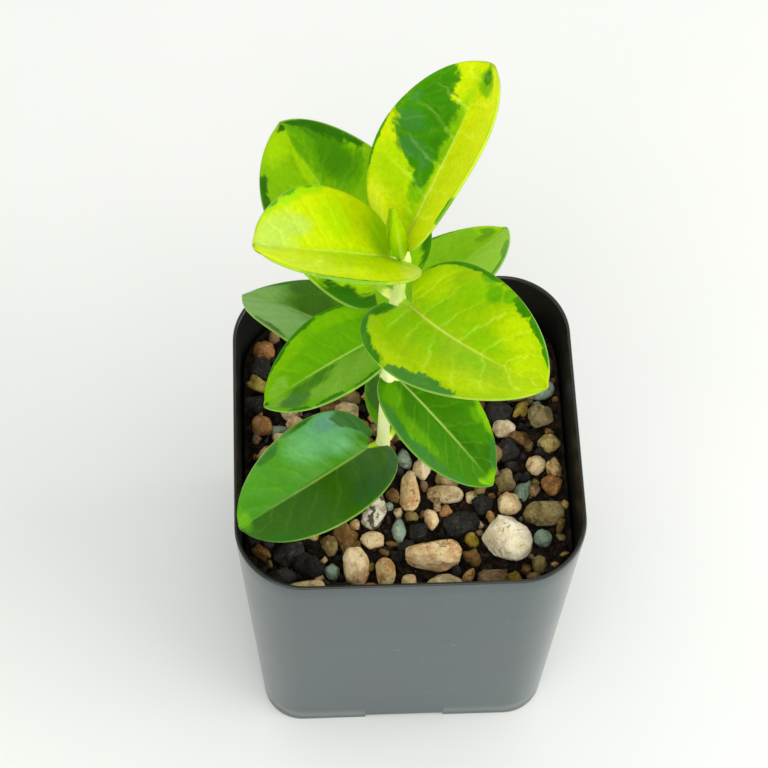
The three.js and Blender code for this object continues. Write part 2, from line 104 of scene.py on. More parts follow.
# Floor
# A plain white painted table top, which goes on past the view on every side.
class Shade:
    """One socket of a material's nodes. Plain sums on it add Math nodes."""

    def __init__(self, tree, socket):
        self.tree = tree
        self.socket = socket

    def node(self, kind, sockets=None, out=0, **settings):
        """Adds a node: its settings first, and then the values or links of its sockets."""
        made = self.tree.nodes.new(kind)
        for name, value in settings.items():
            setattr(made, name, value)
        for key, value in (sockets or {}).items():
            if isinstance(value, Shade):
                self.tree.links.new(value.socket, made.inputs[key])
            else:
                made.inputs[key].default_value = value
        return Shade(self.tree, made.outputs[out])

    def math(self, operation, first, second=0.0):
        return self.node("ShaderNodeMath", {0: first, 1: second}, operation=operation)

    def __add__(self, other):
        return self.math("ADD", self, other)

    def __radd__(self, other):
        return self.math("ADD", other, self)

    def __sub__(self, other):
        return self.math("SUBTRACT", self, other)

    def __rsub__(self, other):
        return self.math("SUBTRACT", other, self)

    def __mul__(self, other):
        return self.math("MULTIPLY", self, other)

    def __rmul__(self, other):
        return self.math("MULTIPLY", other, self)

    def __truediv__(self, other):
        return self.math("DIVIDE", self, other)

    def __pow__(self, other):
        return self.math("POWER", self, other)

    def __abs__(self):
        return self.math("ABSOLUTE", self)

    def greater(self, other):
        return self.math("MAXIMUM", self, other)

    def vector(self, operation, other=(0, 0, 0), out=0):
        """Vector Math on these coordinates. A length comes out of its second socket."""
        return self.node("ShaderNodeVectorMath", {0: self, 1: other}, out, operation=operation)

    def turned(self, rotation=(0, 0, 0), scale=(1, 1, 1)):
        """These coordinates turned and scaled. A scale under 1 stretches a pattern that way."""
        sockets = {"Vector": self, "Rotation": rotation, "Scale": scale}
        return self.node("ShaderNodeMapping", sockets)

    def height(self):
        """How high a place stands, in metres."""
        return self.node("ShaderNodeSeparateXYZ", {0: self}, out=2)

    def step(self, low, high):
        """0 below low and 1 above high, smooth between them."""
        sockets = {"Value": self, "From Min": low, "From Max": high}
        return self.node("ShaderNodeMapRange", sockets, interpolation_type="SMOOTHSTEP")

    def mix(self, first, second):
        """The first colour where this value is 0, and the second where it is 1."""
        keyed = {6: first, 7: second}
        sockets = {k: v if isinstance(v, Shade) else (*v, 1) for k, v in keyed.items()}
        return self.node("ShaderNodeMix", {0: self, **sockets}, out=2, data_type="RGBA")

    def grain(self, scale, detail=3, **sockets):
        """Noise from 0 to 1 on these coordinates."""
        given = {"Vector": self, "Scale": scale, "Detail": detail}
        given.update({k.capitalize(): v for k, v in sockets.items()})
        return self.node("ShaderNodeTexNoise", given)


def new_material(name, **constants):
    """A material, its shader and its Object coordinates, from which its nodes start."""
    material = bpy.data.materials.new(name)
    material.use_nodes = True
    tree = material.node_tree
    shader = tree.nodes["Principled BSDF"]
    for key, value in constants.items():
        shader.inputs[key.replace("_", " ").title().replace("Ior", "IOR")].default_value = value
    start = Shade(tree, None).node("ShaderNodeTexCoord", out=3)
    return material, shader, start


def paint(material, shader, bump=None, height=0.0001, **varying):
    """Links what varies over the surface, and a bump whose full height is given in metres."""
    for key, value in varying.items():
        material.node_tree.links.new(value.socket, shader.inputs[key.replace("_", " ").title()])
    if bump is not None:
        normal = bump.node("ShaderNodeBump", {"Height": bump, "Distance": height, "Strength": 1.0})
        material.node_tree.links.new(normal.socket, shader.inputs["Normal"])
    return material


def srgb(red, green, blue):
    """A colour given in display values from 0 to 255, as the shader's own values."""
    shares = (c / 255 for c in (red, green, blue))
    return tuple(c / 12.92 if c <= 0.04045 else ((c + 0.055) / 1.055) ** 2.4 for c in shares)


def new_piece(name, bm, *materials, smooth=True):
    """Makes the bmesh, which is in millimetres, an object at the origin, in metres."""
    bmesh.ops.scale(bm, vec=(mm, mm, mm), verts=bm.verts)
    mesh = bpy.data.meshes.new(name)
    bm.to_mesh(mesh)
    bm.free()
    for material in materials:
        mesh.materials.append(material)
    for polygon in mesh.polygons:
        polygon.use_smooth = smooth
    piece = bpy.data.objects.new(name, mesh)
    scene.collection.objects.link(piece)
    return piece


FLOOR_REACH = 2500
white_paint, shader, at = new_material("white_paint", roughness=0.62)
white = at.grain(6, detail=4).step(0.3, 0.7).mix(srgb(243, 243, 240), srgb(238, 239, 236))
paint(white_paint, shader, base_color=white)
bm = bmesh.new()
bmesh.ops.create_grid(bm, x_segments=2, y_segments=2, size=FLOOR_REACH)
new_piece("floor", bm, white_paint)

# Pot
# One thin wall of moulded dark plastic, square with round corners, flaring to a plain round edge.
# The floor stands on a foot ring with a notch in each side, and has five drain holes.
POT_HEIGHT = 90
FOOT_HALF, FOOT_CORNER = 34, 9.5
RIM_HALF, RIM_CORNER = 37.5, 15
FLOOR_UNDER, FLOOR_TOP = 2, 3.2
POT_SEGMENTS = 200
STRAIGHT_SHARE = 0.2


def square_point(half, corner, angle):
    """The place at an angle round a square. Each quarter is a straight, a corner and a straight."""
    quarter = math.pi / 2
    turns = math.floor(angle / quarter + 1e-6)
    t = max(0.0, angle / quarter - turns)
    straight = half - corner
    if t < STRAIGHT_SHARE:
        place = Vector((half, straight * t / STRAIGHT_SHARE))
    elif t < 1 - STRAIGHT_SHARE:
        a = (t - STRAIGHT_SHARE) / (1 - 2 * STRAIGHT_SHARE) * quarter
        place = Vector((straight + corner * math.cos(a), straight + corner * math.sin(a)))
    else:
        place = Vector((straight * (1 - t) / STRAIGHT_SHARE, half))
    return Matrix.Rotation(turns * quarter, 2) @ place


def square_body(profile):
    """Spins a profile of half widths and heights, then squares the round body out."""
    bm = bmesh.new()
    ring = [bm.verts.new((half, 0, z)) for half, z in profile]
    edges = [bm.edges.new(pair) for pair in zip(ring, ring[1:])]
    spun = dict(cent=(0, 0, 0), axis=(0, 0, 1), angle=math.tau, steps=POT_SEGMENTS, use_merge=True)
    bmesh.ops.spin(bm, geom=ring + edges, **spun)
    bmesh.ops.remove_doubles(bm, verts=bm.verts, dist=1e-4)
    step = math.tau / POT_SEGMENTS
    for v in bm.verts:
        half = v.co.xy.length
        if half < 1e-6:
            continue
        angle = round(math.atan2(v.co.y, v.co.x) / step) * step % math.tau
        rise = min(max(v.co.z / POT_HEIGHT, 0), 1)
        outside = FOOT_HALF + (RIM_HALF - FOOT_HALF) * rise
        corner = (FOOT_CORNER + (RIM_CORNER - FOOT_CORNER) * rise) * half / outside
        v.co.xy = square_point(half, corner, angle)
    bmesh.ops.recalc_face_normals(bm, faces=bm.faces)
    return bm


def wall_points(foot, rim, steps):
    """Evenly spaced points up a straight wall, without its two ends."""
    return [
        tuple(a + (b - a) * i / steps for a, b in zip(foot, rim))
        for i in range(1, steps)
    ]


under_floor = [(half, FLOOR_UNDER) for half in (0, 10, 22, 31.4, 31.9)]
foot_ring = [(32.1, 1.85), (32.2, 0.3), (32.45, 0.05), (32.8, 0), (33.5, 0), (33.85, 0.08)]
outer_wall = (FOOT_HALF, 0.4), (37.48, 89.5)
rim_edge = [(37.46, 89.75), (37.34, 89.93), (37.1, POT_HEIGHT), (36.87, 89.93), (36.74, 89.75)]
inner_wall = (36.7, 89.4), (33.1, 4.6)
inner_corner = [(33.0, 3.9), (32.7, 3.4)]
floor_top = [(half, FLOOR_TOP) for half in (32.1, 22, 10, 0)]
pot_profile = under_floor + foot_ring
pot_profile += [outer_wall[0], *wall_points(*outer_wall, 14), outer_wall[1]] + rim_edge
pot_profile += [inner_wall[0], *wall_points(*inner_wall, 14), inner_wall[1]] + inner_corner + floor_top
bm = square_body(pot_profile)
pot_plastic, shader, at = new_material("pot_plastic", ior=1.55, specular_ior_level=0.6)
cloudy = at.grain(38, detail=5)
fine = at.grain(900, detail=2)
slanting = at.turned((0.5, 0.35, 0), (1, 1, 9))
scratch = slanting.grain(210, detail=1, distortion=0.6).step(0.735, 0.76) * cloudy.step(0.45, 0.62)
nicks = at.grain(520, detail=6).step(0.73, 0.78) * 0.5
scuff = scratch.greater(nicks)
plastic = cloudy.step(0.3, 0.75).mix(srgb(13, 43, 47), srgb(21, 53, 56))
# The top of the rim is painted near black, as painted shade.
rim = at.height().step((POT_HEIGHT - 0.7) * mm, (POT_HEIGHT - 0.3) * mm)
plastic = rim.mix(plastic, srgb(8, 14, 10))
dusty = (scuff * 0.45).mix(plastic, srgb(150, 160, 156))
paint(
    pot_plastic,
    shader,
    bump=fine * 0.6 + cloudy * 2 + scuff * 0.8,
    height=0.00004,
    base_color=dusty,
    roughness=cloudy * 0.1 + scuff * 0.2 + 0.13,
)
# The inner wall is dark plastic with a brown cast, and the cast is a painted reflection of the gravel.
pot_inside, shader, at = new_material("pot_inside", ior=1.5)
plastic_and_painted_reflection = at.grain(60, detail=6).step(0.4, 0.75).mix(srgb(18, 21, 20), srgb(36, 36, 31))
inside_finish = dict(base_color=plastic_and_painted_reflection, roughness=at.grain(90) * 0.2 + 0.3)
paint(pot_inside, shader, bump=at.grain(700), height=0.00004, **inside_finish)
pot = new_piece("moulded_pot", bm, pot_plastic, pot_inside)
for polygon in pot.data.polygons:
    facing_in = polygon.normal.xy.dot(polygon.center.xy) < 0
    if facing_in and FLOOR_TOP * mm < polygon.center.z < (POT_HEIGHT - 0.5) * mm:
        polygon.material_index = pot.data.materials.find("pot_inside")


def cut_from(piece, cutter_bm):
    """Cuts a closed shape out of a piece and keeps the result as the piece's own mesh."""
    cutter = new_piece("cutter", cutter_bm)
    cut = piece.modifiers.new("cut", "BOOLEAN")
    cut.operation = "DIFFERENCE"
    cut.solver = "EXACT"
    cut.object = cutter
    graph = bpy.context.evaluated_depsgraph_get()
    made = bpy.data.meshes.new_from_object(piece.evaluated_get(graph))
    piece.modifiers.clear()
    piece.data = made
    bpy.data.objects.remove(cutter)


NOTCH_WIDTH, NOTCH_HEIGHT, NOTCH_REACH = 19, 1.8, 6
DRAIN_RADIUS, DRAIN_OUT, DRAIN_DEPTH = 4, 17, 4
bm = bmesh.new()
for side in range(4):
    shape = Matrix.Diagonal((NOTCH_REACH, NOTCH_WIDTH, 2 * NOTCH_HEIGHT, 1))
    place = Matrix.Rotation(side * math.pi / 2, 4, "Z") @ Matrix.Translation((FOOT_HALF - 1, 0, 0))
    bmesh.ops.create_cube(bm, size=1, matrix=place @ shape)
for x, y in ((0, 0), (1, 1), (-1, 1), (-1, -1), (1, -1)):
    place = Matrix.Translation((x * DRAIN_OUT, y * DRAIN_OUT, (FLOOR_UNDER + FLOOR_TOP) / 2))
    drain = dict(cap_ends=True, segments=40, radius1=DRAIN_RADIUS, radius2=DRAIN_RADIUS)
    bmesh.ops.create_cone(bm, matrix=place, depth=DRAIN_DEPTH, **drain)
cut_from(pot, bm)
pot.data.set_sharp_from_angle(angle=math.radians(45))
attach(pot, "root")
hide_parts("pot")

# Growing medium
# A dark crumbly mix of bark, peat and grit that fills the pot to a finger's width below the rim.
# Its top is uneven, and fits between the stones that lie on it.
MEDIUM_TOP = 76
MEDIUM_TOP_HALF = 35.7


def crumbly(x, y):
    """How far the medium's top stands over its mean height at a place."""
    coarse = noise.fractal(Vector((x, y, 3.0)) * 0.22, 1.0, 2.0, 4)
    return 0.9 * coarse + 0.35 * noise.noise(Vector((x, y, 9.0)) * 1.7)


medium_foot = (32.8, 4.6)
medium_profile = [
    (0, 3.5), (31.9, 3.5), medium_foot,
    *wall_points(medium_foot, (MEDIUM_TOP_HALF, MEDIUM_TOP), 6),
    *wall_points((MEDIUM_TOP_HALF + 0.4, MEDIUM_TOP), (0, MEDIUM_TOP), 72),
    (0, MEDIUM_TOP),
]
bm = square_body(medium_profile)
for v in bm.verts:
    if v.co.z > MEDIUM_TOP - 0.1:
        v.co.z += crumbly(v.co.x, v.co.y)
growing_mix, shader, at = new_material("growing_mix", roughness=0.95, specular_ior_level=0.25)
lumps = at.grain(420, detail=8)
flecks = at.grain(1500, detail=2)
soil = lumps.step(0.35, 0.7).mix(srgb(24, 19, 15), srgb(66, 50, 38))
soil = flecks.step(0.66, 0.74).mix(soil, srgb(120, 96, 70))
paint(growing_mix, shader, bump=lumps * 3 + flecks, height=0.0004, base_color=soil)
medium = new_piece("crumbly_medium", bm, growing_mix)
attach(medium, "root")
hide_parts("growing_medium")


# Gravel, the large stones
# Worn river pebbles, softer tan and pale ones, greenish ones and black lava, each washed and laid
# by hand. Each is shaped from its own solid: worn flat in places, then pitted.
def stone_material(name, body, shade, bright, vein=None, rough=0.8, pits=1.0):
    """Blotched stone, darker brown in its hollows, its pits and some specks. Its tone comes with each
    stone.
    """
    material, shader, at = new_material(name, specular_ior_level=0.35)
    blotch = at.grain(240, detail=5, roughness=0.62)
    speck = at.grain(1100, detail=4, roughness=0.7)
    hollow = at.grain(430, detail=3, roughness=0.5, distortion=0.8).step(0.42, 0.3)
    pit = at.node("ShaderNodeTexVoronoi", {"Vector": at, "Scale": 900.0}).step(0.05, 0.3)
    tone = at.node("ShaderNodeAttribute", out=2, attribute_name="tone")
    color = blotch.step(0.38, 0.6).mix(srgb(*shade), srgb(*body))
    color = speck.step(0.5, 0.75).mix(color, srgb(*bright))
    darker_brown = srgb(*(c * kept for c, kept in zip(shade, (0.62, 0.5, 0.38))))
    color = (hollow * 0.45).mix(color, darker_brown)
    color = (speck.step(0.4, 0.28) * 0.45).mix(color, darker_brown)
    color = ((1 - pit) * speck.step(0.42, 0.58) * 0.35).mix(color, darker_brown)
    if vein:
        wave = {"Scale": 150.0, "Distortion": 7.0, "Detail": 4.0, "Detail Scale": 2.5}
        bands = at.node("ShaderNodeTexWave", {"Vector": at.turned((0.3, 0.9, 0.5)), **wave})
        color = bands.step(0.55, 0.85).mix(color, srgb(*vein))
    toned = {"Color": color, "Value": tone * 0.5 + 0.76, "Saturation": tone * -0.3 + 1.12}
    color = color.node("ShaderNodeHueSaturation", toned)
    paint(
        material,
        shader,
        bump=blotch * 2 + speck * 0.9 + pit * pits * 0.6 - hollow * 1.5,
        height=0.0002,
        base_color=color,
        roughness=speck * 0.2 + (rough - 0.1),
    )
    return material


STONE_FINISHES = {
    "cream": stone_material("cream_stone", (250, 238, 206), (232, 212, 172), (255, 250, 232)),
    "tan": stone_material("tan_stone", (232, 204, 150), (196, 148, 90), (248, 232, 192)),
    "pale": stone_material("pale_stone", (214, 192, 148), (178, 150, 104), (236, 220, 184)),
    "streaked": stone_material(
        "streaked_stone", (232, 226, 202), (196, 188, 158), (246, 242, 226), vein=(84, 78, 62)
    ),
    "olive": stone_material("olive_stone", (152, 134, 84), (114, 94, 48), (186, 170, 118)),
    "green": stone_material("green_stone", (150, 168, 148), (112, 132, 108), (186, 198, 178), pits=0.5),
    "orange": stone_material("orange_stone", (180, 128, 70), (128, 82, 42), (208, 168, 108)),
    "yellow": stone_material("yellow_stone", (186, 166, 84), (146, 122, 50), (212, 196, 126)),
    "brown": stone_material("brown_stone", (150, 118, 78), (108, 80, 48), (184, 154, 108)),
    "lava": stone_material("lava_stone", (44, 42, 38), (24, 22, 20), (78, 74, 66), rough=0.9, pits=3.0),
}


WORN_SIDES = 9
LARGE_ROUGH, LARGE_LAVA_ROUGH = 0.13, 0.3
ROUND_CUT, ANGULAR_CUT = (0.66, 0.93), (0.58, 0.88)
ANGULAR_KINDS = ("cream", "streaked", "tan")


def wear_stone(verts, middle, half, rough, draw, cut=ROUND_CUT):
    """Flattens a stone on a few sides, each at a share of its half size, and roughens it all over."""
    ways = [Vector([draw.gauss(0, 1) for _ in range(3)]).normalized() for _ in range(WORN_SIDES)]
    faces = [(way, draw.uniform(*cut)) for way in ways]
    seed = Vector([draw.uniform(-50, 50) for _ in range(3)])
    size = sum(half) / 3
    for v in verts:
        unit = Vector([c / h for c, h in zip(v.co - middle, half)])
        for normal, reach in faces:
            over = unit.dot(normal) - reach
            if over > 0:
                unit -= normal * over * 0.8
        lump = noise.fractal(unit * 1.1 + seed, 1.0, 2.0, 3)
        pit = noise.fractal(unit * size * 1.3 + seed, 1.0, 2.2, 4)
        unit *= 1.04 + rough * (0.7 * lump + 0.5 * pit / size ** 0.5)
        v.co = middle + Vector([c * h for c, h in zip(unit, half)])


def toned_bmesh():
    """An empty bmesh, and the layer in which its vertices carry their stone's own tone."""
    bm = bmesh.new()
    return bm, bm.verts.layers.float.new("tone")


named_stones = sorted(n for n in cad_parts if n.startswith("stone_"))
stone_rooms = []
draw = random.Random(7)
for node in named_stones:
    kind = node.split("_")[2]
    low, high = (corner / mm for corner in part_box(node))
    middle, half = (low + high) / 2, (high - low) / 2
    stone_rooms.append((middle, half))
    bm, tone = toned_bmesh()
    bm.from_mesh(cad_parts[node].data)
    bmesh.ops.scale(bm, vec=(1 / mm,) * 3, verts=bm.verts)
    bmesh.ops.remove_doubles(bm, verts=bm.verts, dist=1e-3)
    bmesh.ops.subdivide_edges(bm, edges=bm.edges, cuts=5 if max(half) > 4 else 3, use_grid_fill=True)
    for _ in range(3):
        all_ways = dict(use_axis_x=True, use_axis_y=True, use_axis_z=True)
        bmesh.ops.smooth_vert(bm, verts=bm.verts, factor=0.5, **all_ways)
    rough = LARGE_LAVA_ROUGH if kind == "lava" else LARGE_ROUGH
    cut = ANGULAR_CUT if kind in ANGULAR_KINDS else ROUND_CUT
    wear_stone(bm.verts, middle, half * 1.04, rough, draw, cut)
    own_tone = draw.uniform(0.25, 0.75)
    for v in bm.verts:
        v[tone] = own_tone
    stone = new_piece("worn_" + node, bm, STONE_FINISHES[kind])
    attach(stone, "root")
    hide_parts(node)
    "lava_rock" if kind == "lava" else "stone_" + kind

# Gravel, the small stones and the grit
# The same kinds of stone, sieved finer, lie between the large ones and on the medium round them.
# Crumbs of bark and lava fill what is left.
SMALL_KINDS = {
    "tan": 14, "brown": 26, "lava": 30, "olive": 14, "pale": 3, "orange": 4, "green": 4, "yellow": 3,
}
SMALL_TRIES, COARSE_TRIES, CRUMB_TRIES = 3400, 1100, 2600
COARSE_RADIUS, FINE_RADIUS, CRUMB_RADIUS = (1.9, 3.0), (0.8, 2.0), (0.25, 0.75)
SMALL_ROUGH, SMALL_LAVA_ROUGH = 0.4, 0.6
SCATTER_HALF = 35
INSIDE_HALF, INSIDE_CORNER = MEDIUM_TOP_HALF - 0.4, 12
STEM_PLACE, STEM_CLEAR = Vector((-5.6, -6.0)), 1.7
small_draw = random.Random(21)
placed = []


def clear_of_stones(place, radius):
    """Whether a ball stays out of the large stones and of the balls placed before it."""
    for middle, half in stone_rooms:
        gap = Vector([c / (h + radius * 0.75) for c, h in zip(place - middle, half)])
        if gap.length < 1:
            return False
    return all((place - other).length > (radius + its_radius) * 0.82 for other, its_radius in placed)


def inside_pot(x, y, radius):
    """Whether a ball stays inside the pot's wall and round corners."""
    straight = INSIDE_HALF - radius - INSIDE_CORNER
    outside = Vector((max(abs(x) - straight, 0), max(abs(y) - straight, 0)))
    return outside.length < INSIDE_CORNER


small_meshes = {kind: toned_bmesh() for kind in SMALL_KINDS}
for attempt in range(SMALL_TRIES):
    radius = small_draw.uniform(*(FINE_RADIUS if attempt > COARSE_TRIES else COARSE_RADIUS))
    x, y = (small_draw.uniform(-SCATTER_HALF, SCATTER_HALF) for _ in range(2))
    kind = small_draw.choices(list(SMALL_KINDS), SMALL_KINDS.values())[0]
    rise = small_draw.uniform(0.15, 2.6)
    from_stem = (Vector((x, y)) - STEM_PLACE).length
    if not inside_pot(x, y, radius) or from_stem < radius + STEM_CLEAR:
        continue
    place = Vector((x, y, MEDIUM_TOP + crumbly(x, y) + radius * 0.5 + rise))
    if not clear_of_stones(place, radius):
        continue
    placed.append((place, radius))
    bm, tone = small_meshes[kind]
    detail = 3 if radius > 1.6 else 2
    verts = bmesh.ops.create_icosphere(bm, subdivisions=detail, radius=1)["verts"]
    half = Vector([radius * small_draw.uniform(0.6, 1.35) for _ in range(3)])
    rough = SMALL_LAVA_ROUGH if kind == "lava" else SMALL_ROUGH
    wear_stone(verts, Vector(), Vector((1, 1, 1)), rough, small_draw)
    turn = Euler([small_draw.uniform(0, math.tau) for _ in range(3)]).to_matrix()
    own_tone = small_draw.uniform(-0.35, 0.75)
    for v in verts:
        v.co = turn @ Vector([c * h for c, h in zip(v.co, half)]) + place
        v[tone] = own_tone
for kind, (bm, tone) in small_meshes.items():
    gravel = new_piece("small_gravel_" + kind, bm, STONE_FINISHES[kind])
    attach(gravel, "root")
    "lava_rock" if kind == "lava" else "stone_" + kind

crumb_draw = random.Random(5)
bm = bmesh.new()
for _ in range(CRUMB_TRIES):
    x, y = (crumb_draw.uniform(-SCATTER_HALF, SCATTER_HALF) for _ in range(2))
    radius = crumb_draw.uniform(*CRUMB_RADIUS)
    if not inside_pot(x, y, radius):
        continue
    place = Vector((x, y, MEDIUM_TOP + crumbly(x, y) + crumb_draw.uniform(0, 1.6)))
    verts = bmesh.ops.create_icosphere(bm, subdivisions=1, radius=radius)["verts"]
    stretch = Vector([crumb_draw.uniform(0.6, 1.5) for _ in range(3)])
    turn = Euler([crumb_draw.uniform(0, math.tau) for _ in range(3)]).to_matrix()
    for v in verts:
        v.co = turn @ Vector([c * h for c, h in zip(v.co, stretch)]) + place
crumbs = new_piece("bark_crumbs", bm, growing_mix, smooth=False)
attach(crumbs, "root")

# Stem
# One upright stem, smooth and pale yellow-green, a little thicker at each pair of leaves.
# It is one grown piece with the roots that hold it in the medium.
STEM_LINE = [
    Vector((-5.8, -6, 58)), Vector((-5.6, -6, 80)), Vector((-5.2, -6, 108)),
    Vector((-4.6, -6, 133)), Vector((-3.4, -6, 155)), Vector((-2.6, -6, 172)),
]
NODE_HEIGHTS = {"lowest": 94.2, "lower": 123.6, "middle": 142.5, "upper": 154.8, "highest": 168.7}
STEM_FOOT, STEM_TOP = 58, 172
STEM_STEP = 0.8
FOOT_RADIUS, NARROWING, NODE_RADIUS, NODE_HALF_HEIGHT = 1.4, 0.25, 1.62, 1.8


def smooth_through(points, t):
    """A place on the smooth curve through the points, with t from 0 to 1."""
    spans = len(points) - 1
    span = min(int(t * spans), spans - 1)
    share = t * spans - span
    before = points[span - 1] if span else points[0] * 2 - points[1]
    after = points[span + 2] if span + 2 <= spans else points[-1] * 2 - points[-2]
    start, end = points[span], points[span + 1]
    return 0.5 * (
        2 * start
        + (end - before) * share
        + (2 * before - 5 * start + 4 * end - after) * share**2
        + (3 * start - before - 3 * end + after) * share**3
    )


def stem_point(z):
    """The middle of the stem at a height."""
    low, high = 0.0, 1.0
    for _ in range(30):
        t = (low + high) / 2
        low, high = (t, high) if smooth_through(STEM_LINE, t).z < z else (low, t)
    return smooth_through(STEM_LINE, (low + high) / 2)


def stem_radius(z):
    """The stem narrows upwards, and swells where a pair of leaves joins it."""
    plain = FOOT_RADIUS - NARROWING * (z - STEM_FOOT) / (STEM_TOP - STEM_FOOT)
    swelling = max(math.exp(-(((z - h) / NODE_HALF_HEIGHT) ** 2)) for h in NODE_HEIGHTS.values())
    return plain + (NODE_RADIUS - plain) * swelling


def add_tube(bm, points, radii, sides=20):
    """A closed round tube through the points, with its own radius at each. Gives its faces."""
    last = len(points) - 1
    rings = []
    for i, (point, radius) in enumerate(zip(points, radii)):
        ahead = points[min(i + 1, last)] - points[max(i - 1, 0)]
        place = Matrix.Translation(point) @ ahead.to_track_quat("Z", "Y").to_matrix().to_4x4()
        ring = bmesh.ops.create_circle(bm, segments=sides, radius=radius, matrix=place)["verts"]
        rings.append(list(dict.fromkeys(edge for v in ring for edge in v.link_edges)))
    tube = []
    for lower, upper in zip(rings, rings[1:]):
        tube += bmesh.ops.bridge_loops(bm, edges=lower + upper)["faces"]
    for end in (rings[0], rings[last]):
        tube += bmesh.ops.contextual_create(bm, geom=end)["faces"]
    bmesh.ops.recalc_face_normals(bm, faces=tube)
    return tube


bm = bmesh.new()
heights = [STEM_FOOT + i * STEM_STEP for i in range(int((STEM_TOP - STEM_FOOT) / STEM_STEP))]
heights += [STEM_TOP - 0.3, STEM_TOP]
radii = [stem_radius(z) * (1 + 0.02 * noise.noise(Vector((0, 0, z * 0.7)))) for z in heights]
radii[-2:] = [radii[-2] * 0.9, radii[-2] * 0.6]
add_tube(bm, [stem_point(z) for z in heights], radii, sides=32)
# Each root leaves in a direction in degrees, and reaches so far out and so far down.
ROOTS = ((20, 20, 34), (95, 16, 44), (160, 22, 30), (235, 15, 40), (310, 23, 42))
ROOT_BENDS = ((0, 0), (0.35, 0.12), (0.75, 0.45), (1, 1))
ROOT_RADIUS, ROOT_TAPER, ROOT_STEPS = 0.7, 0.5, 24
for direction, out, down in ROOTS:
    way = Vector((math.cos(math.radians(direction)), math.sin(math.radians(direction)), 0))
    start = stem_point(STEM_FOOT + 3)
    route = [start + way * out * reach - Vector((0, 0, down * drop)) for reach, drop in ROOT_BENDS]
    shares = [i / ROOT_STEPS for i in range(ROOT_STEPS + 1)]
    points = [smooth_through(route, share) for share in shares]
    add_tube(bm, points, [ROOT_RADIUS - ROOT_TAPER * share for share in shares], sides=10)
stem_bark, shader, at = new_material("stem_bark", specular_ior_level=0.4, emission_strength=0.1)
streaks = at.turned(scale=(1, 1, 0.16)).grain(1300)
old = at.height().step(0.118, 0.086)
young = at.height().step(0.135, 0.165)
bark = streaks.step(0.3, 0.75).mix(srgb(238, 246, 158), srgb(250, 252, 200))
bark = (young * 0.6).mix(bark, srgb(222, 234, 110))
bark = (old * streaks.step(0.4, 0.7) * 0.35).mix(bark, srgb(206, 200, 120))
for h in NODE_HEIGHTS.values():
    ring = 1 - (abs(at.height() - h * mm) / 0.0022).step(0.1, 1.0)
    bark = (ring * 0.3).mix(bark, srgb(214, 226, 110))
# The bark also glows faintly in its own colour: painted light that brightens the stem.
painted_glow = dict(base_color=bark, emission_color=bark, roughness=streaks * 0.15 + 0.42)
paint(stem_bark, shader, bump=streaks, height=0.00012, **painted_glow)
stem = new_piece("upright_stem", bm, stem_bark)
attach(stem, "root")
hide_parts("stem")

# Leaves
# Thick waxy heart-shaped blades in crossed pairs, each on a short petiole, one grown piece each.
# They are lime in the middle with dark green blotches and margins, and the veins show paler.
BLADE_THICK = 0.9
VEIN_PAIRS = 6.5
MIDRIB_STEPS = 12

